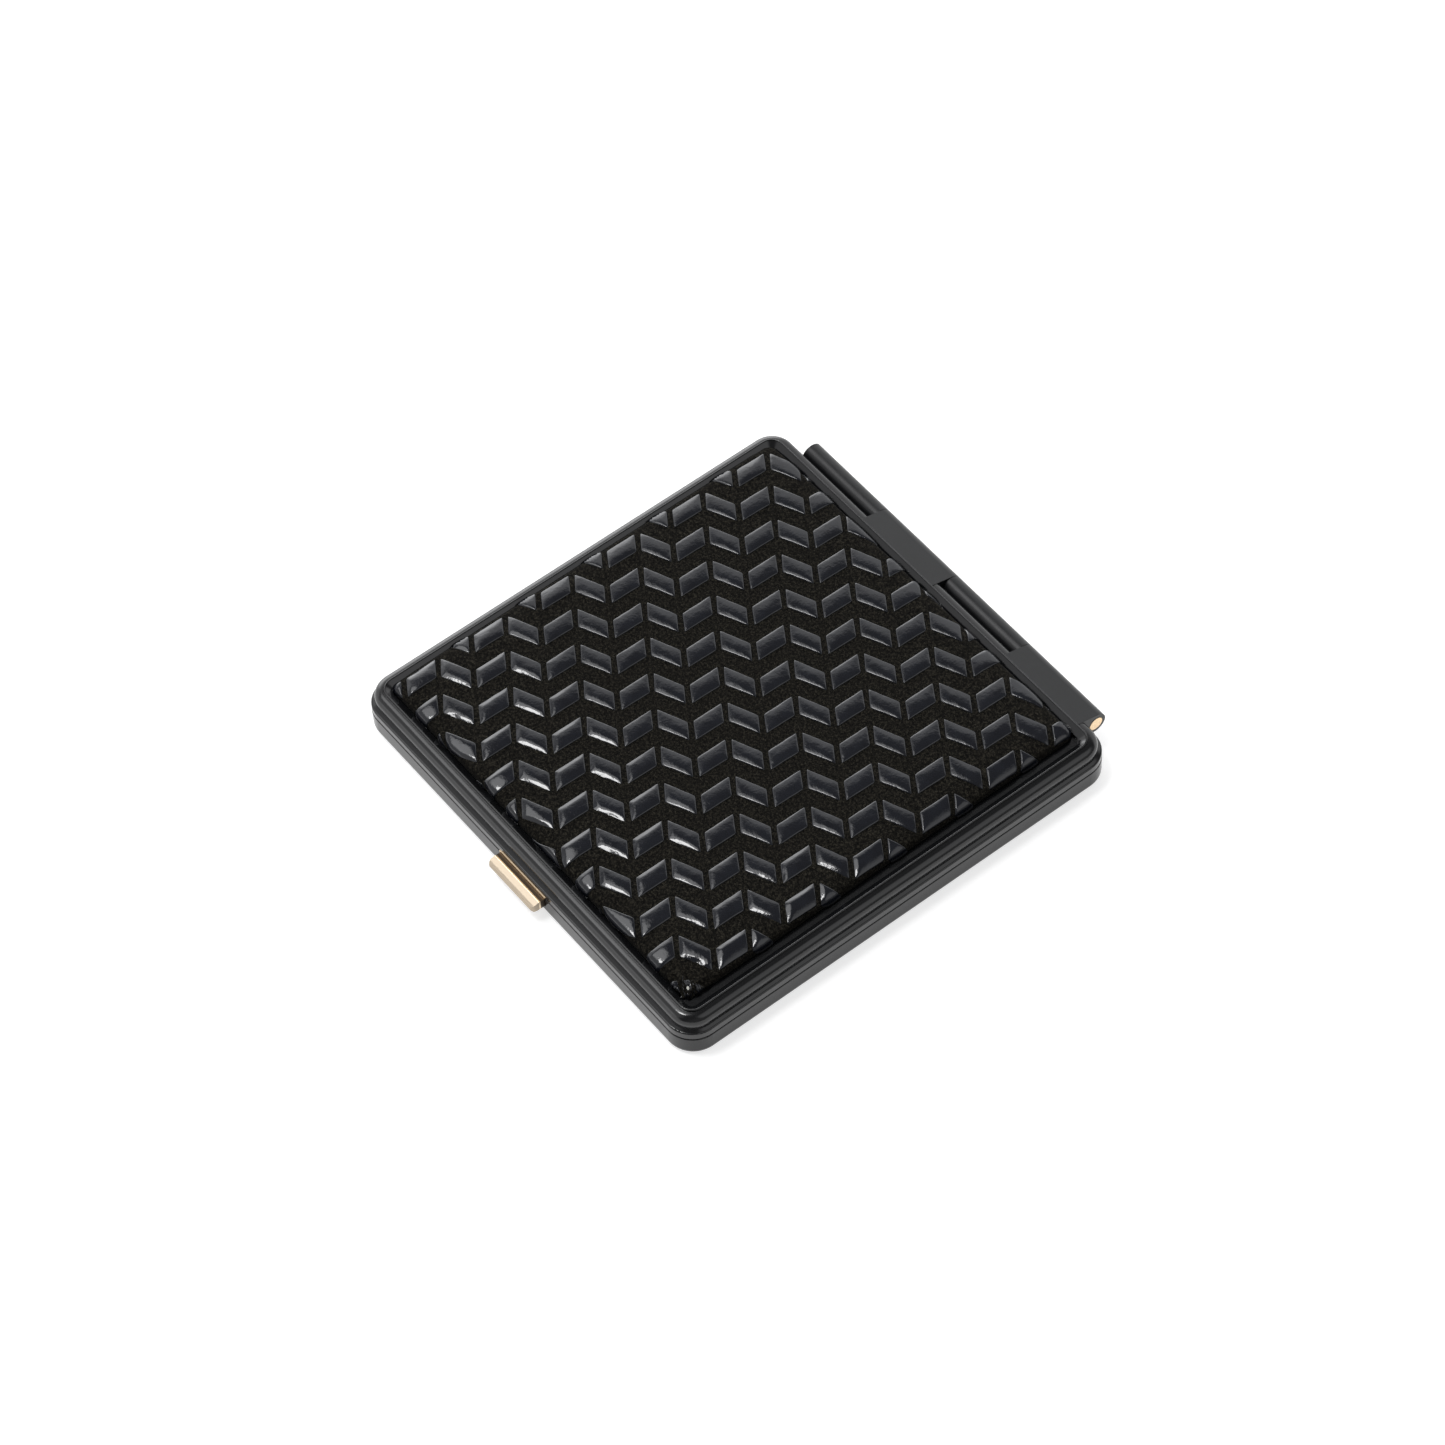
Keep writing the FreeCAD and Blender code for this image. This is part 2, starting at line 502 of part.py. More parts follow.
# ---------------------------------------------------------------- export
solids = {
    "base_shell": base_shell,
    "base_inner_tray": tray,
    "base_knuckle_left": base_knuckle(0),
    "base_knuckle_middle": base_knuckle(2),
    "hinge_pin": hinge_pin,
    "powder_pan": powder_pan,
    "powder_cake": powder_cake,
    "pan_glue_pad": pan_glue_pad,
    "puff_body": puff_body,
    "puff_ribbon": puff_ribbon,
    "latch_bracket": latch_bracket,
    "latch_rivets": Part.makeCompound(base_rivets),
    "latch_spring": latch_spring,
    "latch_bar": latch_bar,
    "thumb_piece": thumb_piece,
    "lid_shell": lid_shell,
    "lid_knuckle_middle": lid_knuckle(1),
    "lid_knuckle_right": lid_knuckle(3),
    "lid_catch": lid_catch,
    "catch_rivets": Part.makeCompound(catch_rivets),
    "lid_bumpers": Part.makeCompound(bumpers),
    "mirror_frame": mirror_frame,
    "mirror_pad": mirror_pad,
    "mirror_glass": mirror_glass,
    "panel_board": panel_board,
    "panel_foam": panel_foam,
    "panel_leather": panel_leather,
}
for name, shape in solids.items():
    save(shape, name)
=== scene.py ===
"""Looks of the powder compact: suede lid pad with lacquer chips, black enamel case, gold push latch."""

import math

import bmesh
import bpy
from mathutils import Matrix, Vector, noise


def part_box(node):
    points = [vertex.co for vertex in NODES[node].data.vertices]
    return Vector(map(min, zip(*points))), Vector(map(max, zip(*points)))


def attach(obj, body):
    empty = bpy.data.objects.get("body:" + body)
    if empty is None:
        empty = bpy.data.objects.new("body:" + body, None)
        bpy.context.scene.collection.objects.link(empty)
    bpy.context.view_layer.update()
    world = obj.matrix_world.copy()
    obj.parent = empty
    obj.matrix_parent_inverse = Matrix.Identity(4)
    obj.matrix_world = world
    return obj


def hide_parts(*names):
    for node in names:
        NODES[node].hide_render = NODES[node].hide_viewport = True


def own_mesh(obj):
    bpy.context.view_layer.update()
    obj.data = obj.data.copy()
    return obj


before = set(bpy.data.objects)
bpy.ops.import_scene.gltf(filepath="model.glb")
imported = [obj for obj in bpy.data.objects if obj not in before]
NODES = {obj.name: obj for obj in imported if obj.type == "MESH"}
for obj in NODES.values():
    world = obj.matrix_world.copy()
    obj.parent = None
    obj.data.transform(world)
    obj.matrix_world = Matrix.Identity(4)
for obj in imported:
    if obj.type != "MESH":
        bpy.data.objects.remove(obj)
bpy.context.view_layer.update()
MM = 0.001

# ---------------------------------------------------------------- camera
# Seen from the front right and above; angles in radians, azimuth 0 looking along +Y.
CAM_AZIMUTH = 0.956778
CAM_ELEVATION = 0.942362
CAM_ROLL = -0.0648362
CAM_DISTANCE = 0.67725
CAM_TARGET = Vector((0.0004, -0.002204, 0.0076))
CAM_LENS_MM = 121.81
CAM_SENSOR_MM = 36.0
CAM_NEAR, CAM_FAR = 0.01, 20.0


def make_camera():
    back = Vector((math.sin(CAM_AZIMUTH) * math.cos(CAM_ELEVATION),
                   -math.cos(CAM_AZIMUTH) * math.cos(CAM_ELEVATION), math.sin(CAM_ELEVATION)))
    level = Vector((math.cos(CAM_AZIMUTH), math.sin(CAM_AZIMUTH), 0.0))
    upright = back.cross(level)
    right = level * math.cos(CAM_ROLL) + upright * math.sin(CAM_ROLL)
    up = upright * math.cos(CAM_ROLL) - level * math.sin(CAM_ROLL)
    data = bpy.data.cameras.new("camera")
    data.lens = CAM_LENS_MM
    data.sensor_width = CAM_SENSOR_MM
    data.clip_start = CAM_NEAR
    data.clip_end = CAM_FAR
    camera = bpy.data.objects.new("camera", data)
    bpy.context.scene.collection.objects.link(camera)
    turn = Matrix((right, up, back)).transposed().to_4x4()
    camera.matrix_world = Matrix.Translation(CAM_TARGET + back * CAM_DISTANCE) @ turn
    bpy.context.scene.camera = camera


make_camera()


# ---------------------------------------------------------------- node helpers
class Shade:
    """A material's node tree, with short calls for the nodes used here."""

    def __init__(self, name):
        self.material = bpy.data.materials.new(name)
        self.material.use_nodes = True
        self.tree = self.material.node_tree
        self.tree.nodes.clear()
        self.output = self.tree.nodes.new("ShaderNodeOutputMaterial")
        self.bsdf = self.tree.nodes.new("ShaderNodeBsdfPrincipled")
        self.link(self.bsdf.outputs[0], self.output.inputs[0])
        self.coords = self.tree.nodes.new("ShaderNodeTexCoord").outputs["Object"]

    def link(self, source, target):
        self.tree.links.new(source, target)

    def set(self, **values):
        """Set the shader's sockets to plain values, colours or other nodes' outputs."""
        for key, value in values.items():
            socket = self.bsdf.inputs[key.replace("_", " ")]
            if isinstance(value, bpy.types.NodeSocket):
                self.link(value, socket)
            elif isinstance(value, tuple):
                socket.default_value = (*value, 1.0)
            else:
                socket.default_value = value

    def scaled(self, scale):
        """The object's coordinates, stretched by a factor along each axis."""
        mapping = self.tree.nodes.new("ShaderNodeMapping")
        mapping.inputs["Scale"].default_value = scale
        self.link(self.coords, mapping.inputs["Vector"])
        return mapping.outputs[0]

    def noise(self, scale, detail=3.0, rough=0.55, vector=None):
        node = self.tree.nodes.new("ShaderNodeTexNoise")
        node.inputs["Scale"].default_value = scale
        node.inputs["Detail"].default_value = detail
        node.inputs["Roughness"].default_value = rough
        self.link(vector or self.coords, node.inputs["Vector"])
        return node.outputs["Fac"]

    def wave(self, scale, direction):
        node = self.tree.nodes.new("ShaderNodeTexWave")
        node.bands_direction = direction
        node.inputs["Scale"].default_value = scale
        node.inputs["Distortion"].default_value = 0.0
        self.link(self.coords, node.inputs["Vector"])
        return node.outputs["Fac"]

    def math(self, operation, a, b):
        node = self.tree.nodes.new("ShaderNodeMath")
        node.operation = operation
        for socket, value in zip(node.inputs, (a, b)):
            if isinstance(value, bpy.types.NodeSocket):
                self.link(value, socket)
            else:
                socket.default_value = value
        return node.outputs[0]

    def ramp(self, value, *stops):
        """Colours or greys at places along value."""
        node = self.tree.nodes.new("ShaderNodeValToRGB")
        ramp = node.color_ramp
        while len(ramp.elements) < len(stops):
            ramp.elements.new(1.0)
        for element, (place, colour) in zip(ramp.elements, stops):
            element.position = place
            rgb = colour if isinstance(colour, tuple) else (colour, colour, colour)
            element.color = (*rgb, 1.0)
        self.link(value, node.inputs[0])
        return node.outputs[0]

    def bump(self, height, distance, strength=1.0, under=None):
        """Relief from a height, distance in metres, laid over another bump's output if given."""
        node = self.tree.nodes.new("ShaderNodeBump")
        node.inputs["Distance"].default_value = distance
        node.inputs["Strength"].default_value = strength
        self.link(height, node.inputs["Height"])
        if under is not None:
            self.link(under, node.inputs["Normal"])
        self.link(node.outputs[0], self.bsdf.inputs["Normal"])
        return node.outputs[0]


def shaded(colour, share):
    """A colour made darker or lighter by a share."""
    return tuple(share * c for c in colour)


def enamel(name, tint, roughness, ior=1.5):
    """Black baked enamel on metal, with a faint orange peel and a fine grain."""
    s = Shade(name)
    patch = s.noise(260.0, 2.0)
    wear = s.noise(700.0, 3.0)
    s.set(Base_Color=s.ramp(patch, (0.3, shaded(tint, 0.85)), (0.7, shaded(tint, 1.15))),
          Roughness=s.ramp(wear, (0.3, roughness * 0.88), (0.7, roughness * 1.12)), IOR=ior)
    peel = s.bump(s.noise(1500.0, 2.0), 0.00001, 0.25)
    s.bump(s.noise(5200.0, 2.0), 0.000012, 0.5, under=peel)
    return s.material


def metal(name, colour, roughness, brushed=None):
    """Bare or plated metal, brushed along one axis if a scale is given."""
    s = Shade(name)
    vector = s.scaled(brushed) if brushed else s.coords
    lines = s.noise(1.0 if brushed else 2500.0, 3.0, 0.6, vector)
    s.set(Base_Color=s.ramp(lines, (0.35, shaded(colour, 0.9)), (0.65, colour)),
          Roughness=s.ramp(lines, (0.35, roughness * 1.2), (0.65, roughness * 0.85)), Metallic=1.0, IOR=1.5)
    s.bump(lines, 0.000008, 0.5)
    return s.material


def dress(material, *names):
    """Give CAD nodes a material."""
    for name in names:
        slots = NODES[name].material_slots
        for index in range(len(slots)):
            slots[index].material = material


# ---------------------------------------------------------------- materials
def suede_material():
    """Matte brown-black suede, its nap lit only at the tips."""
    s = Shade("suede")
    fine = s.noise(5600.0, 2.0, 0.7)
    nap = s.noise(2600.0, 3.0, 0.6)
    mixed = s.math("ADD", s.math("MULTIPLY", fine, 0.5), s.math("MULTIPLY", nap, 0.5))
    tint = s.ramp(mixed, (0.40, (0.0008, 0.0007, 0.0005)), (0.50, (0.0045, 0.0040, 0.0030)),
                  (0.62, (0.024, 0.0215, 0.016)))
    s.set(Base_Color=tint, Roughness=1.0, Sheen_Weight=0.02, Sheen_Roughness=0.6, Specular_IOR_Level=0.05)
    s.bump(mixed, 0.00016, 1.0)
    return s.material


def lacquer_material():
    """Thick blue-black lacquer with an uneven, flowed surface."""
    s = Shade("chip_lacquer")
    tint = s.ramp(s.noise(420.0, 2.0), (0.3, (0.0045, 0.005, 0.0075)), (0.7, (0.007, 0.008, 0.0115)))
    s.set(Base_Color=tint, Roughness=0.10, IOR=1.5)
    peel = s.bump(s.noise(1100.0, 2.0), 0.00006, 0.40)
    s.bump(s.noise(3400.0, 2.0), 0.00002, 0.45, under=peel)
    return s.material


def velour_material():
    """Short beige pile, a little cloudy from use."""
    s = Shade("puff_velour")
    nap = s.noise(5200.0, 3.0, 0.65)
    cloud = s.noise(220.0, 2.0)
    mixed = s.math("ADD", s.math("MULTIPLY", nap, 0.7), s.math("MULTIPLY", cloud, 0.3))
    s.set(Base_Color=s.ramp(mixed, (0.35, (0.50, 0.33, 0.23)), (0.68, (0.74, 0.55, 0.42))), Roughness=0.95,
          Sheen_Weight=0.35, Sheen_Roughness=0.5, Specular_IOR_Level=0.2)
    s.bump(nap, 0.00012, 0.8)
    return s.material


def ribbon_material():
    """Ribbed satin ribbon, woven from two sets of threads."""
    s = Shade("ribbon_satin")
    warp = s.wave(900.0, "Y")
    weft = s.wave(600.0, "X")
    threads = s.math("MULTIPLY", warp, s.math("ADD", 0.6, s.math("MULTIPLY", weft, 0.4)))
    s.set(Base_Color=s.ramp(threads, (0.1, (0.40, 0.25, 0.16)), (0.9, (0.60, 0.42, 0.29))), Roughness=0.42,
          Sheen_Weight=0.2, Sheen_Roughness=0.4)
    s.bump(threads, 0.00004, 0.6)
    return s.material


def powder_material():
    """Pressed face powder, fine and matte."""
    s = Shade("pressed_powder")
    grain = s.noise(6000.0, 3.0, 0.7)
    cloud = s.noise(160.0, 2.0)
    mixed = s.math("ADD", s.math("MULTIPLY", grain, 0.5), s.math("MULTIPLY", cloud, 0.5))
    s.set(Base_Color=s.ramp(mixed, (0.35, (0.56, 0.34, 0.22)), (0.65, (0.66, 0.43, 0.29))), Roughness=0.9,
          Specular_IOR_Level=0.25)
    s.bump(grain, 0.00005, 0.5)
    return s.material


def plain_material(name, low, high, roughness, scale=900.0, bump=0.2):
    """Moulded or cut stock: a speckle between two colours, with a slight texture."""
    s = Shade(name)
    speck = s.noise(scale, 3.0)
    s.set(Base_Color=s.ramp(speck, (0.3, low), (0.7, high)),
          Roughness=s.ramp(speck, (0.3, roughness * 0.9), (0.7, min(1.0, roughness * 1.1))))
    s.bump(speck, 0.00002, bump)
    return s.material


THUMB_RIDGE_Y = -0.0384          # the low ridge along the thumb piece's top, in metres
THUMB_SPAN = 0.001               # its colours change over this depth, half of it before the ridge


def thumb_material():
    """Satin champagne plate, polished along its top edge, with a painted highlight along that edge and
    painted shade in the hollow behind it, standing in for the black case reflected there.
    """
    s = Shade("champagne_gold")
    split = s.tree.nodes.new("ShaderNodeSeparateXYZ")
    s.link(s.coords, split.inputs[0])
    front = THUMB_RIDGE_Y - THUMB_SPAN / 2
    back = s.math("MULTIPLY", s.math("SUBTRACT", split.outputs["Y"], front), 1 / THUMB_SPAN)
    # painted highlight: a lighter band along the ridge; painted shade: a dark band in the recess behind it,
    # standing in for the black case reflected there
    satin, ridge_highlight, recess_shade = (0.44, 0.37, 0.285), (0.86, 0.72, 0.52), (0.085, 0.062, 0.042)
    tint = s.ramp(back, (0.0, satin), (0.42, satin), (0.50, ridge_highlight), (0.66, (0.80, 0.64, 0.44)),
                  (0.74, recess_shade))
    grain = s.noise(9000.0, 2.0)
    s.set(Base_Color=tint, Metallic=1.0,
          Roughness=s.ramp(back, (0.42, 0.50), (0.50, 0.25), (0.74, 0.30)))
    s.bump(grain, 0.000012, 0.6)
    return s.material


def mirror_material():
    """Mirror, darker than silvered glass so that it shows against the white studio."""
    s = Shade("mirror_silver")
    haze = s.noise(90.0, 3.0)
    s.set(Base_Color=s.ramp(haze, (0.3, (0.42, 0.435, 0.445)), (0.7, (0.45, 0.465, 0.475))), Metallic=1.0,
          Roughness=s.ramp(haze, (0.3, 0.008), (0.7, 0.022)))
    return s.material


ENAMEL_LID = enamel("enamel_lid", (0.0035, 0.0037, 0.0042), 0.14)
# painted shade: the base's enamel is a slightly darker, less reflective copy of the lid's, standing in for
# the shade near the floor
ENAMEL_BASE_SHADED = enamel("enamel_base_shaded", (0.0030, 0.0032, 0.0036), 0.15, ior=1.42)
ENAMEL_HINGE = enamel("enamel_hinge", (0.0045, 0.0048, 0.0054), 0.34, ior=1.38)
BRASS_PIN = metal("brass_pin", (0.86, 0.64, 0.40), 0.22)
BRASS_LATCH = metal("brass_latch", (0.72, 0.55, 0.33), 0.30)
CHAMPAGNE = thumb_material()
CATCH_GOLD = metal("catch_gold", (0.80, 0.62, 0.42), 0.14, brushed=(300.0, 9000.0, 9000.0))
STEEL = metal("spring_steel", (0.55, 0.55, 0.56), 0.30)
ALUMINIUM = metal("pan_aluminium", (0.78, 0.78, 0.78), 0.28)
TRAY = plain_material("tray_plastic", (0.012, 0.012, 0.013), (0.018, 0.018, 0.020), 0.32, 5200.0)
FRAME_BLACK = plain_material("frame_plastic", (0.010, 0.010, 0.011), (0.015, 0.015, 0.017), 0.25, 3000.0, 0.1)
RUBBER = plain_material("bumper_rubber", (0.42, 0.42, 0.41), (0.52, 0.52, 0.51), 0.6)
GLUE = plain_material("glue_pad", (0.74, 0.72, 0.62), (0.82, 0.80, 0.70), 0.7)
BOARD = plain_material("panel_board", (0.20, 0.15, 0.10), (0.30, 0.24, 0.17), 0.9)
FOAM = plain_material("panel_foam", (0.60, 0.60, 0.54), (0.70, 0.70, 0.64), 0.95)
PAD = plain_material("mirror_pad", (0.02, 0.02, 0.02), (0.04, 0.04, 0.04), 0.8)
SUEDE = suede_material()
LACQUER = lacquer_material()
VELOUR = velour_material()
RIBBON = ribbon_material()
POWDER = powder_material()

dress(ENAMEL_LID, "lid_shell")
dress(ENAMEL_BASE_SHADED, "base_shell")
dress(ENAMEL_HINGE, "base_knuckle_left", "base_knuckle_middle", "lid_knuckle_middle", "lid_knuckle_right")
dress(BRASS_PIN, "hinge_pin")
dress(BRASS_LATCH, "latch_bracket", "latch_rivets", "latch_bar", "catch_rivets")
dress(CHAMPAGNE, "thumb_piece")
dress(CATCH_GOLD, "lid_catch")
dress(STEEL, "latch_spring")
dress(ALUMINIUM, "powder_pan")
dress(TRAY, "base_inner_tray")
dress(FRAME_BLACK, "mirror_frame")
dress(RUBBER, "lid_bumpers")
dress(GLUE, "pan_glue_pad")
dress(BOARD, "panel_board")
dress(FOAM, "panel_foam")
dress(PAD, "mirror_pad")
dress(mirror_material(), "mirror_glass")


# ---------------------------------------------------------------- mesh helpers
def add_piece(name, verts, faces, material, body):
    """A smooth mesh object from points in millimetres, riding on a CAD body."""
    mesh = bpy.data.meshes.new(name)
    mesh.from_pydata([tuple(c * MM for c in v) for v in verts], [], faces)
    mesh.validate()
    mesh.materials.append(material)
    piece = bpy.data.objects.new(name, mesh)
    bpy.context.scene.collection.objects.link(piece)
    mesh.shade_smooth()
    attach(piece, body)
    return piece


def box_mm(node):
    """A CAD node's two corners in millimetres."""
    lo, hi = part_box(node)
    return lo / MM, hi / MM


def graded(low, high, edge, fine, coarse):
    """Places from low to high, close together within edge of both ends."""
    count = max(2, math.ceil(edge / fine))
    middle = max(2, math.ceil((high - low - 2 * edge) / coarse))
    first = [low + edge * i / count for i in range(count)]
    centre = [low + edge + (high - low - 2 * edge) * i / middle for i in range(middle)]
    return first + centre + [high - edge + edge * i / count for i in range(count + 1)]


def smooth_step(a, b, x):
    """0 at a, 1 at b, eased at both ends; b may be the smaller."""
    t = min(1.0, max(0.0, (x - a) / (b - a)))
    return t * t * (3 - 2 * t)


def grid_faces(columns, rows):
    """Faces of a grid of points that were listed row by row."""
    return [(j * columns + i, j * columns + i + 1, (j + 1) * columns + i + 1, (j + 1) * columns + i)
            for j in range(rows - 1) for i in range(columns - 1)]


def grid_outline(columns, rows):
    """The points round such a grid's edge, in order."""
    ring = [i for i in range(columns)] + [j * columns + columns - 1 for j in range(1, rows)]
    ring += [(rows - 1) * columns + i for i in range(columns - 2, -1, -1)]
    return ring + [j * columns for j in range(rows - 2, 0, -1)]


# ---------------------------------------------------------------- lid pad
# Millimetres. Points on the suede are (u, v) from the pad's centre, measured on the flat skin.
pad_lo, pad_hi = box_mm("panel_leather")
PAD_Y = (pad_lo.y + pad_hi.y) / 2
CHIP_RISE = 0.26                 # lacquer thickness at a chip's crown
TOP_CLEAR = 0.03                 # room for the skin's swell under the CAD pad's top
SUEDE_TOP = pad_hi.z - CHIP_RISE - TOP_CLEAR
ROLL_R = 0.8                     # radius that the suede turns down over
CORNER_IN = 0.5                  # corner radius of the flat
LEFT_BULGE = 0.95                # the skin swells past the CAD pad on the left, onto the rim's slope
PAD_X = (pad_lo.x + pad_hi.x - LEFT_BULGE) / 2
FLAT_X = (pad_hi.x - pad_lo.x + LEFT_BULGE) / 2 - 0.75 * ROLL_R
FLAT_Y = (pad_hi.y - pad_lo.y) / 2 - 0.75 * ROLL_R
DOME_R = 9000.0                  # the skin's very slight crown
PAD_FOOT = 6.16                  # lowest the suede reaches, just above the lid's recess
SLOPE_IN, SLOPE_OUT = 34.2, 35.25    # half widths of the rim's inner slope
SLOPE_FOOT, SLOPE_HEAD = 6.75, 7.6   # and its heights there
SKIN_CLEAR = 0.02                # the skin lies this far above the slope
WRAP = ROLL_R * math.pi / 2 + 0.25   # suede beyond the flat: the turn down and a short side
EDGE_BAND = 9.0                  # the foam thins over this far from the pad's edges
EDGE_DROP = 0.20                 # by this much
SHOULDER_BAND = 2.4              # and more steeply over the last of it
SHOULDER_DROP = 0.30
LOOSE = 0.55                     # share of both drops on the left and back, which are drawn down less
CORNER_OUT = 1.0                 # pleats and cracks gather round a point this far past the flat's corner
PUCKER = 0.30                    # height of the pleats at the front right corner
OTHER_PUCKER = 0.1               # share of it at the other corners
PLEAT_RATE = 13.0                # radians of fold per radian round that point
PLEAT_START, PLEAT_FULL = 8.0, 2.5   # distances from that point
CRACK_START, CRACK_FULL = 7.0, 4.6
SLOPE_STEP = 0.01                # half the distance that the skin's slope is measured over
SKIN_SWELL = 0.018               # slow unevenness of the skin
SKIN_MERGE = 0.003               # points of the skin closer than this become one
SKIN_EDGE, SKIN_FINE, SKIN_COARSE = 3.2, 0.16, 0.6   # grid of the skin: fine border and middle


def edge_drop(inside, tight):
    """How far the skin has come down at this distance in from the flat's edge; tight is 1 or LOOSE."""
    far = max(0.0, EDGE_BAND - inside) / EDGE_BAND
    near = max(0.0, SHOULDER_BAND - inside) / SHOULDER_BAND
    return tight * (EDGE_DROP * far * far + SHOULDER_DROP * near * near)


def pad_top(u, v):
    """Height of the suede over the flat part of the pad."""
    dome = (u * u + v * v) / (2 * DOME_R)
    side = edge_drop(FLAT_X - abs(u), 1.0 if u > 0 else LOOSE)
    end = edge_drop(FLAT_Y - abs(v), 1.0 if v < 0 else LOOSE)
    return SUEDE_TOP - dome - side - end


def pleats(u, v):
    """Skin gathered at the front right corner, less so at the others."""
    du, dv = FLAT_X + CORNER_OUT - abs(u), FLAT_Y + CORNER_OUT - abs(v)
    reach = math.hypot(du, dv)
    depth = PUCKER if u > 0 > v else OTHER_PUCKER * PUCKER
    near = smooth_step(PLEAT_START, PLEAT_FULL, reach)
    if near <= 0:
        return 0.0
    angle = math.atan2(dv, du)
    fold = math.sin(PLEAT_RATE * angle + 2.2 * noise.noise(Vector((u * 0.5, v * 0.5, 4.0))))
    crumple = noise.noise(Vector((u * 1.3, v * 1.3, 8.0)))
    return depth * near * (0.7 * fold + 0.9 * crumple - 0.45)


def broken(u, v):
    """1 at the front right corner, where the lacquer has cracked up."""
    return smooth_step(CRACK_START, CRACK_FULL, math.hypot(FLAT_X + CORNER_OUT - u, FLAT_Y + CORNER_OUT + v))


def rim_floor(x, y):
    """Lowest the skin can lie: the recess, or the rim's slope round it."""
    along = (max(abs(x), abs(y)) - SLOPE_IN) / (SLOPE_OUT - SLOPE_IN)
    return PAD_FOOT if along <= 0 else SLOPE_FOOT + along * (SLOPE_HEAD - SLOPE_FOOT) + SKIN_CLEAR


def pad_point(u, v, rise=0.0):
    """Where a point of the flat skin lies once it is wrapped, raised by rise along the surface's normal."""
    qx = abs(u) - (FLAT_X - CORNER_IN)
    qy = abs(v) - (FLAT_Y - CORNER_IN)
    if qx > 0 and qy > 0:
        reach = math.hypot(qx, qy)
        nx, ny = qx / reach, qy / reach
        out = reach - CORNER_IN
    elif qx > qy:
        nx, ny, out = 1.0, 0.0, qx - CORNER_IN
    else:
        nx, ny, out = 0.0, 1.0, qy - CORNER_IN
    nx, ny = math.copysign(nx, u), math.copysign(ny, v)
    rise += pleats(u, v)
    out = max(0.0, out)
    bx, by = u - nx * out, v - ny * out
    slope_x = (pad_top(bx + SLOPE_STEP, by) - pad_top(bx - SLOPE_STEP, by)) / (2 * SLOPE_STEP)
    slope_y = (pad_top(bx, by + SLOPE_STEP) - pad_top(bx, by - SLOPE_STEP)) / (2 * SLOPE_STEP)
    normal = Vector((-slope_x, -slope_y, 1.0)).normalized()
    point = Vector((PAD_X + bx, PAD_Y + by, pad_top(bx, by)))
    if out <= 0:
        return point + normal * rise
    start = math.atan(max(0.0, -slope_x * nx - slope_y * ny))
    angle = min(start + out / ROLL_R, math.pi / 2)
    side = ROLL_R * (math.sin(angle) - math.sin(start)) + rise * math.sin(angle)
    drop = ROLL_R * (math.cos(start) - math.cos(angle)) + max(0.0, out - ROLL_R * (math.pi / 2 - start))
    z = point.z - drop + rise * math.cos(angle)
    x, y = point.x + nx * side, point.y + ny * side
    return Vector((x, y, max(z, rim_floor(x, y))))


def make_suede():
    """The suede skin of the lid pad, turned down all round."""
    xs = graded(-FLAT_X - WRAP, FLAT_X + WRAP, SKIN_EDGE, SKIN_FINE, SKIN_COARSE)
    ys = graded(-FLAT_Y - WRAP, FLAT_Y + WRAP, SKIN_EDGE, SKIN_FINE, SKIN_COARSE)
    verts = []
    for v in ys:
        for u in xs:
            swell = SKIN_SWELL * noise.noise(Vector((u * 0.9, v * 0.9, 2.0)))
            verts.append(pad_point(u, v, swell))
    piece = add_piece("lid_suede", verts, grid_faces(len(xs), len(ys)), SUEDE, "lid")
    mesh = bmesh.new()
    mesh.from_mesh(piece.data)
    bmesh.ops.remove_doubles(mesh, verts=mesh.verts[:], dist=SKIN_MERGE * MM)
    mesh.to_mesh(piece.data)
    mesh.free()
    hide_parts("panel_leather")


# Lacquer chips: two four-sided shapes, their corners in order, repeated over a lattice.
ROW_STEP = Vector((0.110, 11.693))       # from one chip to its copies, on the suede
COLUMN_STEP = Vector((5.245, -3.449))
LATTICE = range(-9, 10)                  # rows and columns, enough to cover the pad
SEED_STEP = 1.7                          # between one chip's unevenness and the next one's
UPRIGHT_CHIP = (Vector((-2.05, -0.40)), Vector((0.85, -2.20)), Vector((0.72, -7.15)), Vector((-2.11, -5.40)))
SLANT_CHIP = (Vector((-1.60, 0.25)), Vector((2.95, 2.20)), Vector((5.58, 0.43)), Vector((1.10, -1.65)))
CHIP_FOOT = -0.05                        # height of a chip's underside, set into the suede
LEFT_OVERRUN = 0.35                      # chips run this far over the flat's left edge
# A chip's grid from its edge to near its middle, as shares of its width.
CHIP_STEPS = (0.0, 0.008, 0.02, 0.036, 0.056, 0.08, 0.11, 0.15, 0.2, 0.26, 0.34, 0.42)
EDGE_SHARE, EDGE_WIDTH = 0.64, 0.05      # share of the thickness gained at the edge, and over what width
SHOULDER_SHARE, SHOULDER_WIDTH = 0.36, 0.32
CROWN_LOW, CROWN_SWELL = 0.73, 0.27      # shares of the thickness at a chip's rim, and added at its middle
CORNER_TRIM = 0.035                      # how far a chip's corners are drawn in, as a share of its half
WANDER = 0.035                           # unevenness of its outline
PEEL = ((0.05, 0.9, 5.0), (0.030, 2.6, 9.0), (0.012, 6.0, 3.0))   # waves: share of rise, per mm, seed
SHARDS = ((0.34, 1.1, 6.0), (0.14, 3.0, 7.0))                     # cracked lacquer: mm, per mm, seed
SHARD_TOP = 0.9                          # highest shard, as a share of a chip's rise
SHARD_FADE = 0.1                         # shards are full where the lacquer is this thick
FRONT_SHOULDER = 0.75                    # width of the slope to a chip's front and left edges
PULL = 0.8                               # share of the rise lost there where the skin is drawn down hardest
PULL_VARIES = 0.5                        # and how much that changes from place to place
SLOPE_POWER = 1.3                        # above 1, the slope is hollow
FRONT_PULL_Y, FRONT_PULL_X = (-11.0, -21.0), (30.0, 8.0)          # where it starts and is full
RIGHT_PULL_Y, RIGHT_PULL_X = (2.0, -6.0), (22.0, 27.0)


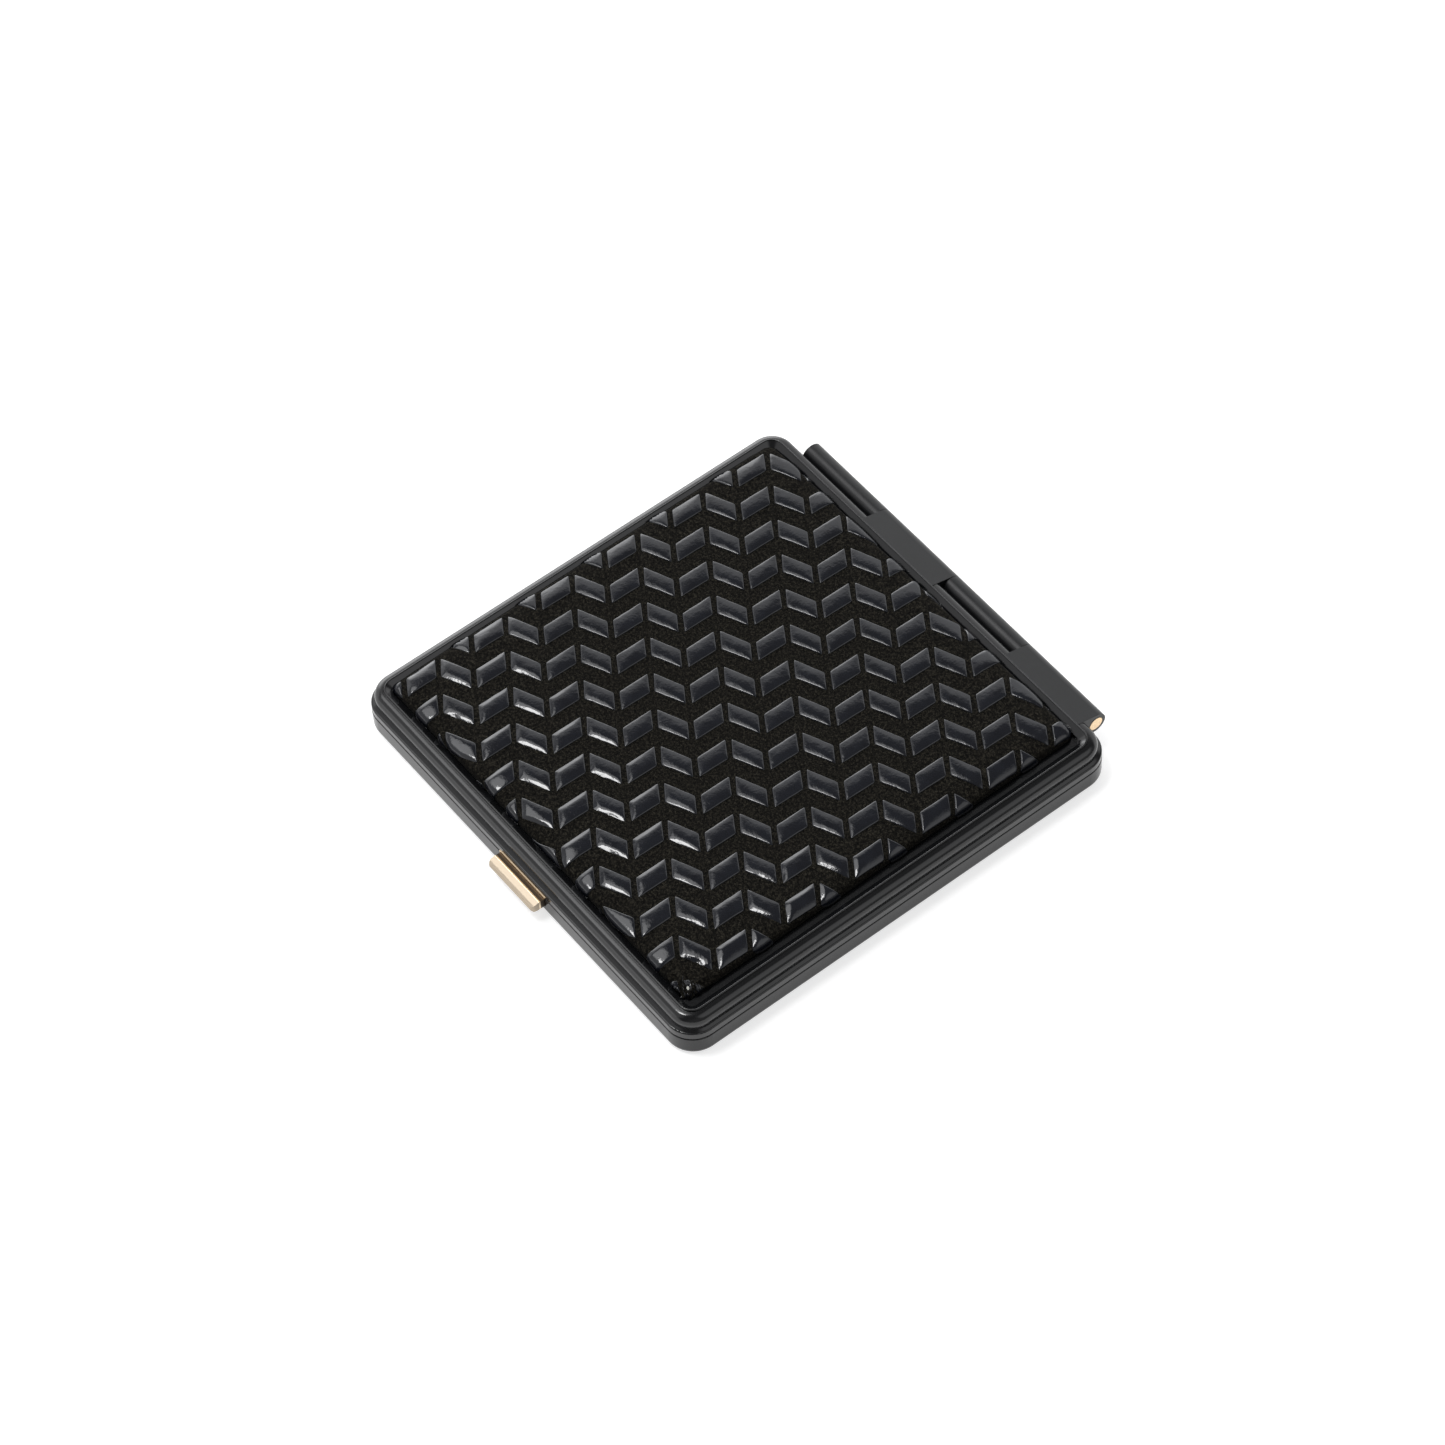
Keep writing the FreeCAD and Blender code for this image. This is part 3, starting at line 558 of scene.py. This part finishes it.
def waves(p, layers, seed):
    """Sum of noises at a point: each layer is its height, its rate per millimetre and its seed."""
    return sum(height * noise.noise(Vector((p.x * rate, p.y * rate, seed + shift)))
               for height, rate, shift in layers)


def chip_height(s, t, half_s, half_t):
    """Lacquer thickness: a quick rounded edge, a soft shoulder, then a low crown."""
    thick = 1.0
    for d in ((1 - abs(s)) * half_s, (1 - abs(t)) * half_t):
        edge = EDGE_SHARE * (1 - math.exp(-d / EDGE_WIDTH))
        thick *= edge + SHOULDER_SHARE * (1 - math.exp(-d / SHOULDER_WIDTH))
    return CHIP_RISE * thick * (CROWN_LOW + CROWN_SWELL * (1 - s * s) * (1 - t * t))


def front_pull(x, y):
    """0 in the middle of the pad, towards 1 at the front edge and the front of the right edge."""
    front = smooth_step(*FRONT_PULL_Y, y) * smooth_step(*FRONT_PULL_X, x)
    right = smooth_step(*RIGHT_PULL_X, x) * smooth_step(*RIGHT_PULL_Y, y)
    return PULL * max(front, right)


def chip_rise(p, s, t, half_s, half_t, seed):
    """Height of the lacquer at a point of a chip, with its waves, its pulled edge and its cracks."""
    rise = chip_height(s, t, half_s, half_t)
    varied = noise.noise(Vector((p.x * 0.7, p.y * 0.7, seed + 2.0)))
    drawn = front_pull(p.x, p.y) * (1 + PULL_VARIES * varied)
    inside = min((1 - t) * half_t, (1 + s) * half_s) / FRONT_SHOULDER
    sag = max(0.0, 1 - inside) ** SLOPE_POWER
    rise = max(0.0, rise * (1 + waves(p, PEEL, seed) - drawn * sag))
    cracked = broken(p.x, p.y)
    if cracked > 0:
        shard = waves(p, SHARDS, 0.0)
        height = min(SHARD_TOP * CHIP_RISE, shard * min(1.0, rise / SHARD_FADE))
        rise = rise * (1 - cracked) + height * cracked
    return rise


def chip_solid(corners, seed):
    """One closed chip on the flat suede: points (u, v, rise) and faces."""
    params = [-1 + 2 * p for p in CHIP_STEPS] + [0.0] + [1 - 2 * p for p in reversed(CHIP_STEPS)]
    count = len(params)
    a, b, c, d = corners
    half_s = 0.25 * ((b - a).length + (c - d).length)
    half_t = 0.25 * ((d - a).length + (c - b).length)
    tops, feet = [], []
    for t in params:
        for s in params:
            trim = CORNER_TRIM * abs(s) ** 10 * abs(t) ** 10
            fs, ft = (s * (1 - trim) + 1) / 2, (t * (1 - trim) + 1) / 2
            p = (a * (1 - fs) + b * fs) * (1 - ft) + (d * (1 - fs) + c * fs) * ft
            wander = WANDER * noise.noise(Vector((p.x * 1.1, p.y * 1.1, seed)))
            tops.append((p.x + wander, p.y - wander, chip_rise(p, s, t, half_s, half_t, seed)))
            feet.append((p.x + wander, p.y - wander, CHIP_FOOT))
    faces = []
    for j in range(count - 1):
        for i in range(count - 1):
            q = (j * count + i, (j + 1) * count + i, (j + 1) * count + i + 1, j * count + i + 1)
            faces.append(q)
            faces.append(tuple(k + count * count for k in reversed(q)))
    ring = grid_outline(count, count)
    for k, low in enumerate(ring):
        high = ring[(k + 1) % len(ring)]
        faces.append((low, high, high + count * count, low + count * count))
    return tops + feet, faces


def lay_chips(limit_x, limit_y):
    """All chips that reach the pad, as points on the flat suede and faces."""
    verts, faces = [], []
    seed = 0.0
    for row in LATTICE:
        for column in LATTICE:
            shift = ROW_STEP * row + COLUMN_STEP * column - Vector((PAD_X, PAD_Y))
            for shape in (UPRIGHT_CHIP, SLANT_CHIP):
                corners = [p + shift for p in shape]
                if all(abs(p.x) > limit_x or abs(p.y) > limit_y for p in corners):
                    continue
                seed += SEED_STEP
                points, quads = chip_solid(corners, seed)
                start = len(verts)
                verts += points
                faces += [tuple(k + start for k in q) for q in quads]
    return verts, faces


def make_chips():
    """The lacquer chips, cut off at the pad's edges and wrapped round them with the skin."""
    limit_x, limit_y = FLAT_X + WRAP, FLAT_Y + WRAP
    verts, faces = lay_chips(limit_x, limit_y)
    mesh = bmesh.new()
    made = [mesh.verts.new(p) for p in verts]
    for q in faces:
        mesh.faces.new([made[k] for k in q])
    for axis, limit in ((Vector((1, 0, 0)), limit_x), (Vector((-1, 0, 0)), FLAT_X + LEFT_OVERRUN),
                        (Vector((0, 1, 0)), limit_y), (Vector((0, -1, 0)), limit_y)):
        cut = bmesh.ops.bisect_plane(mesh, geom=mesh.verts[:] + mesh.edges[:] + mesh.faces[:], dist=1e-5,
                                     plane_co=axis * limit, plane_no=axis, clear_outer=True)
        rim = [e for e in cut["geom_cut"] if isinstance(e, bmesh.types.BMEdge)]
        bmesh.ops.holes_fill(mesh, edges=rim, sides=0)
    mesh.verts.ensure_lookup_table()
    for vert in mesh.verts:
        vert.co = pad_point(vert.co.x, vert.co.y, vert.co.z)
    bmesh.ops.recalc_face_normals(mesh, faces=mesh.faces[:])
    bmesh.ops.scale(mesh, vec=(MM, MM, MM), verts=mesh.verts[:])
    data = bpy.data.meshes.new("lacquer_chips")
    mesh.to_mesh(data)
    mesh.free()
    data.materials.append(LACQUER)
    data.shade_smooth()
    piece = bpy.data.objects.new("lacquer_chips", data)
    bpy.context.scene.collection.objects.link(piece)
    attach(piece, "lid")


make_suede()
make_chips()


# ---------------------------------------------------------------- puff, ribbon, powder cake and spring
def rounded_ring_points(half_x, half_y, corner, per_corner, per_side):
    """Points round a rounded rectangle centred on the origin, anticlockwise."""
    ring = []
    quarters = ((1, 1), (-1, 1), (-1, -1), (1, -1))
    for quarter, (sx, sy) in enumerate(quarters):
        cx, cy = sx * (half_x - corner), sy * (half_y - corner)
        for k in range(per_corner + 1):
            a = math.radians(90 * quarter + 90 * k / per_corner)
            ring.append((cx + corner * math.cos(a), cy + corner * math.sin(a)))
        next_x, next_y = quarters[(quarter + 1) % 4]
        a = math.radians(90 * (quarter + 1))
        end = (next_x * (half_x - corner) + corner * math.cos(a),
               next_y * (half_y - corner) + corner * math.sin(a))
        start = ring[-1]
        for k in range(1, per_side):
            f = k / per_side
            ring.append((start[0] + (end[0] - start[0]) * f, start[1] + (end[1] - start[1]) * f))
    return ring


def lofted_pad(cx, cy, half_x, half_y, corner, levels, per_corner=8, per_side=34):
    """Closed body from rings: levels are (inset, z), the first and last closed by fans."""
    verts, faces = [], []
    for inset, z in levels:
        least = max(0.3, corner - inset)
        ring = rounded_ring_points(half_x - inset, half_y - inset, least, per_corner, per_side)
        count = len(ring)
        verts += [(cx + x, cy + y, z) for x, y in ring]
    for level in range(len(levels) - 1):
        for k in range(count):
            n = (k + 1) % count
            low, high = level * count, (level + 1) * count
            faces.append((low + k, low + n, high + n, high + k))
    for level, flip in ((0, True), (len(levels) - 1, False)):
        z = levels[level][1]
        verts.append((cx, cy, z))
        hub = len(verts) - 1
        for k in range(count):
            n = (k + 1) % count
            tri = (level * count + k, level * count + n, hub)
            faces.append(tuple(reversed(tri)) if flip else tri)
    return verts, faces


PUFF_CORNER = 4.0
PUFF_ROLL_BELOW, PUFF_ROLL_ABOVE = 1.15, 1.25    # how far the cover rolls in under and over the seam
PUFF_SEAM = 0.52                                 # height of the seam, as a share of the thickness
SEAM_HALF = 0.16                                 # the rolls end this far from the seam
ROLL_STEPS = (0.0, 0.12, 0.28, 0.45, 0.62, 0.78, 0.90, 0.97, 1.0)


def puff_levels(low, mid, high):
    """Rings of the puff from its underside up: rolled edges, a seam, and a slightly crowned top."""
    shoulder = high - 0.05
    levels = [(8.0, low), (3.0, low)]
    for f in ROLL_STEPS:
        angle = f * math.pi / 2
        inset = PUFF_ROLL_BELOW * (1 - math.sin(angle)) if f < 1 else 0.0
        levels.append((inset, low + (mid - low - SEAM_HALF) * (1 - math.cos(angle))))
    levels += [(0.22, mid - 0.10), (0.30, mid), (0.22, mid + 0.10)]
    for f in reversed(ROLL_STEPS):
        angle = f * math.pi / 2
        inset = PUFF_ROLL_ABOVE * (1 - math.sin(angle))
        levels.append((inset, shoulder - (shoulder - mid - SEAM_HALF) * (1 - math.cos(angle))))
    return levels + [(2.2, high - 0.03), (4.0, high - 0.012), (7.0, high), (9.5, high)]


def make_puff():
    """The velour puff in its well, a little uneven."""
    lo, hi = box_mm("puff_body")
    cx, cy = (lo.x + hi.x) / 2, (lo.y + hi.y) / 2
    half_x, half_y = (hi.x - lo.x) / 2, (hi.y - lo.y) / 2
    mid = lo.z + (hi.z - lo.z) * PUFF_SEAM
    verts, faces = lofted_pad(cx, cy, half_x, half_y, PUFF_CORNER, puff_levels(lo.z, mid, hi.z))
    soft = []
    for x, y, z in verts:
        slow = 0.05 * noise.noise(Vector((x * 0.35, y * 0.35, z * 0.5)))
        dent = abs(slow + 0.02 * noise.noise(Vector((x * 1.5, y * 1.5, z))))
        centred = abs(x - cx) + abs(y - cy) <= 1e-6
        out = Vector() if centred else Vector((x - cx, y - cy, 0)).normalized()
        top = smooth_step(mid, hi.z, z)
        soft.append((x - dent * out.x, y - dent * out.y, min(hi.z, z - top * dent)))
    piece = add_piece("puff", soft, faces, VELOUR, "base")
    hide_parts("puff_body")


RIBBON_THICK = 0.12
RIBBON_BEND_R = 1.1                # radius that it turns over the puff's edge
RIBBON_BEND_STEPS = 8
RIBBON_TOP_STEPS = 40
RIBBON_GAP = 0.02                  # between the ribbon and the puff's sides
RIBBON_LIFT = 0.01                 # between the ribbon and its path
RIBBON_HEM = 0.15                  # the ribbon is narrower than its CAD solid by this on each side
HEM_THIN = 0.25                    # share of its thickness that its edges lack
ACROSS = (-1.0, -0.97, -0.9, -0.75, -0.5, -0.25, 0.0, 0.25, 0.5, 0.75, 0.9, 0.97, 1.0)


def ribbon_path(left, right, foot, top):
    """Points (x, z) up one side of the puff, over it with a slight ripple and down the other."""
    radius = RIBBON_BEND_R
    path = [(left - RIBBON_GAP, foot), (left - RIBBON_GAP, top - radius)]
    for k in range(1, RIBBON_BEND_STEPS + 1):
        a = math.radians(180 - 90 * k / RIBBON_BEND_STEPS)
        path.append((left - RIBBON_GAP + radius + radius * math.cos(a), top - radius + radius * math.sin(a)))
    span = right - left - 2 * radius
    for k in range(1, RIBBON_TOP_STEPS):
        path.append((left + radius + span * k / RIBBON_TOP_STEPS, top + 0.006 * math.sin(k * 1.3)))
    for k in range(RIBBON_BEND_STEPS + 1):
        a = math.radians(90 - 90 * k / RIBBON_BEND_STEPS)
        path.append((right + RIBBON_GAP - radius + radius * math.cos(a), top - radius + radius * math.sin(a)))
    return path + [(right + RIBBON_GAP, foot)]


def ribbon_faces(length, width):
    """Faces of a closed band: under and upper layer, both hems and both ends."""
    faces = []
    block = length * width
    for q in grid_faces(width, length):
        faces.append(tuple(n + block for n in reversed(q)))
        faces.append(q)
    for k in range(length - 1):
        for i in (0, width - 1):
            q = (k * width + i, (k + 1) * width + i, (k + 1) * width + i + block, k * width + i + block)
            faces.append(q if i == 0 else tuple(reversed(q)))
    for k in (0, length - 1):
        for i in range(width - 1):
            q = (k * width + i, k * width + i + 1, k * width + i + 1 + block, k * width + i + block)
            faces.append(q if k else tuple(reversed(q)))
    return faces


def make_ribbon():
    """The satin band stretched over the puff."""
    lo, hi = box_mm("puff_ribbon")
    body_lo, body_hi = box_mm("puff_body")
    y_mid = (lo.y + hi.y) / 2
    half = (hi.y - lo.y) / 2
    path = ribbon_path(body_lo.x, body_hi.x, lo.z, body_hi.z)
    verts = []
    for layer in (0, 1):
        for k, (x, z) in enumerate(path):
            before, after = path[max(0, k - 1)], path[min(len(path) - 1, k + 1)]
            tangent = Vector((after[0] - before[0], after[1] - before[1])).normalized()
            normal = Vector((-tangent.y, tangent.x))
            for a in ACROSS:
                thick = RIBBON_THICK if layer else 0.0
                lift = RIBBON_LIFT + thick * ((1 - HEM_THIN) + HEM_THIN * smooth_step(1.0, 0.9, abs(a)))
                y = y_mid + a * (half - RIBBON_HEM + 0.05 * math.sin(k * 0.6))
                verts.append((x + normal.x * lift, y, z + normal.y * lift))
    faces = ribbon_faces(len(path), len(ACROSS))
    piece = add_piece("puff_band", verts, faces, RIBBON, "base")
    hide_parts("puff_ribbon")


CAKE_EDGE_R = 0.45                 # rounded upper edge of the powder
CAKE_BORDER, CAKE_FINE, CAKE_COARSE = 1.2, 0.12, 0.22    # its grid
CAKE_CLEAR = 0.02                  # it stays this far inside its CAD solid, above and below
PRESS_DEPTH = 0.16                 # of the pressed frame and zigzag
ZIG_WIDTH, ZIG_STEP = 8.0, 5.0     # one zigzag across, and from one to the next


def press_pattern(x, y, inside):
    """0 to 1 for each part of the pressed pattern: a frame near the edge, and zigzags within it."""
    frame_line = smooth_step(2.0, 2.25, inside) - smooth_step(2.6, 2.85, inside)
    zig = abs((x / ZIG_WIDTH) % 1.0 - 0.5) * ZIG_WIDTH
    band = abs(((y + zig) / ZIG_STEP) % 1.0 - 0.5) * ZIG_STEP
    zigzag = smooth_step(0.55, 0.30, band) * smooth_step(3.3, 3.6, inside)
    return frame_line, zigzag


def make_cake():
    """The pressed powder, embossed with a plain zigzag."""
    lo, hi = box_mm("powder_cake")
    cx, cy = (lo.x + hi.x) / 2, (lo.y + hi.y) / 2
    half_x, half_y = (hi.x - lo.x) / 2, (hi.y - lo.y) / 2
    xs = graded(lo.x, hi.x, CAKE_BORDER, CAKE_FINE, CAKE_COARSE)
    ys = graded(lo.y, hi.y, CAKE_BORDER, CAKE_FINE, CAKE_COARSE)
    verts = []
    for y in ys:
        for x in xs:
            inside = min(half_x - abs(x - cx), half_y - abs(y - cy))
            t = min(1.0, inside / CAKE_EDGE_R)
            drop = CAKE_EDGE_R * (1 - math.sqrt(max(0.0, 1 - (1 - t) ** 2)))
            frame_line, zigzag = press_pattern(x - cx, y - cy, inside)
            grain = 0.012 * noise.noise(Vector((x * 2.2, y * 2.2, 1.0)))
            z = hi.z - CAKE_CLEAR - drop - PRESS_DEPTH * frame_line - PRESS_DEPTH * zigzag + grain
            verts.append((x, y, min(hi.z, z)))
    faces = grid_faces(len(xs), len(ys))
    top = len(verts)
    verts += [(x, y, lo.z + CAKE_CLEAR) for x, y, z in verts[:top]]
    ring = grid_outline(len(xs), len(ys))
    faces.append(tuple(k + top for k in reversed(ring)))
    for k, a in enumerate(ring):
        b = ring[(k + 1) % len(ring)]
        faces.append((b, a, a + top, b + top))
    used = sorted(set(i for f in faces for i in f))
    index = {old: new for new, old in enumerate(used)}
    verts = [verts[i] for i in used]
    faces = [tuple(index[i] for i in f) for f in faces]
    piece = add_piece("pressed_cake", verts, faces, POWDER, "base")
    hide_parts("powder_cake")


def make_spring():
    """The leaf spring behind the latch, a copy of the CAD spring riding on the base."""
    mesh = NODES["latch_spring"].data.copy()
    piece = bpy.data.objects.new("spring_leaf", mesh)
    bpy.context.scene.collection.objects.link(piece)
    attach(piece, "base")
    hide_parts("latch_spring")
    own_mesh(piece)


make_puff()
make_ribbon()
make_cake()
make_spring()


# ---------------------------------------------------------------- studio
# Soft glows on the studio walls: direction, cosines where each starts and is full, strength.
STUDIO_GLOW = (
    ((0.0, 0.0, 1.0), -1.0, -0.999, 0.20),
    ((-0.82, 0.57, -0.62), 0.04, 0.22, 1.15),
    ((-0.90, 0.34, 0.20), 0.84, 0.98, 3.20),
    ((-0.35, -0.90, -0.25), 0.72, 0.97, 1.50),
    ((-0.45, -0.68, 0.58), 0.78, 0.95, 0.70),
    ((-0.42, -0.12, 0.90), 0.94, 0.985, 3.20),
    ((0.55, 0.33, 0.76), 0.85, 0.97, 0.90),
    ((0.90, 0.10, -0.40), 0.0, 0.5, 0.15),
)
GLOW_TINT = (0.985, 0.99, 1.0, 1.0)
KEY_WAY = (-0.22, -0.25, 0.94)   # towards the one lamp, a soft disk; sizes in metres
KEY_DISTANCE = 1.2
KEY_SIZE = 0.30
KEY_POWER = 3.9
FLOOR_HALF = 3.0
FLOOR_GLOW = 0.64                # the paper is lit from below as well


def make_world():
    """Dim studio walls with the soft glows on them added up."""
    world = bpy.data.worlds.new("studio")
    bpy.context.scene.world = world
    world.use_nodes = True
    tree = world.node_tree
    tree.nodes.clear()
    out = tree.nodes.new("ShaderNodeOutputWorld")
    background = tree.nodes.new("ShaderNodeBackground")
    coords = tree.nodes.new("ShaderNodeTexCoord").outputs["Generated"]
    total = None
    for towards, start, full, level in STUDIO_GLOW:
        dot = tree.nodes.new("ShaderNodeVectorMath")
        dot.operation = "DOT_PRODUCT"
        dot.inputs[1].default_value = Vector(towards).normalized()
        tree.links.new(coords, dot.inputs[0])
        fade = tree.nodes.new("ShaderNodeMapRange")
        fade.interpolation_type = "SMOOTHSTEP"
        fade.inputs["From Min"].default_value = start
        fade.inputs["From Max"].default_value = full
        fade.inputs["To Max"].default_value = level
        tree.links.new(dot.outputs["Value"], fade.inputs["Value"])
        if total is None:
            total = fade.outputs[0]
        else:
            add = tree.nodes.new("ShaderNodeMath")
            add.operation = "ADD"
            tree.links.new(total, add.inputs[0])
            tree.links.new(fade.outputs[0], add.inputs[1])
            total = add.outputs[0]
    tree.links.new(total, background.inputs["Strength"])
    background.inputs["Color"].default_value = GLOW_TINT
    tree.links.new(background.outputs[0], out.inputs[0])


def make_lamp():
    light = bpy.data.lights.new("key", "AREA")
    light.shape = "DISK"
    light.size = KEY_SIZE
    light.energy = KEY_POWER
    key = bpy.data.objects.new("key", light)
    bpy.context.scene.collection.objects.link(key)
    direction = Vector(KEY_WAY).normalized()
    key.location = direction * KEY_DISTANCE
    key.rotation_mode = "QUATERNION"
    key.rotation_quaternion = direction.to_track_quat("Z", "Y")


def make_floor():
    """Plain white paper."""
    half = FLOOR_HALF
    corners = [(-half, -half, 0), (half, -half, 0), (half, half, 0), (-half, half, 0)]
    mesh = bpy.data.meshes.new("floor")
    mesh.from_pydata(corners, [], [(0, 1, 2, 3)])
    floor = bpy.data.objects.new("floor", mesh)
    bpy.context.scene.collection.objects.link(floor)
    paper = Shade("floor_paper")
    paper.set(Base_Color=paper.ramp(paper.noise(40.0, 2.0), (0.0, 0.52), (1.0, 0.55)), Roughness=0.9,
              Emission_Color=(1.0, 1.0, 1.0), Emission_Strength=FLOOR_GLOW)
    mesh.materials.append(paper.material)


def make_studio():
    view = bpy.context.scene.view_settings
    view.view_transform = "Standard"
    view.look = "None"
    view.exposure = 0.0
    make_world()
    make_lamp()
    make_floor()


make_studio()
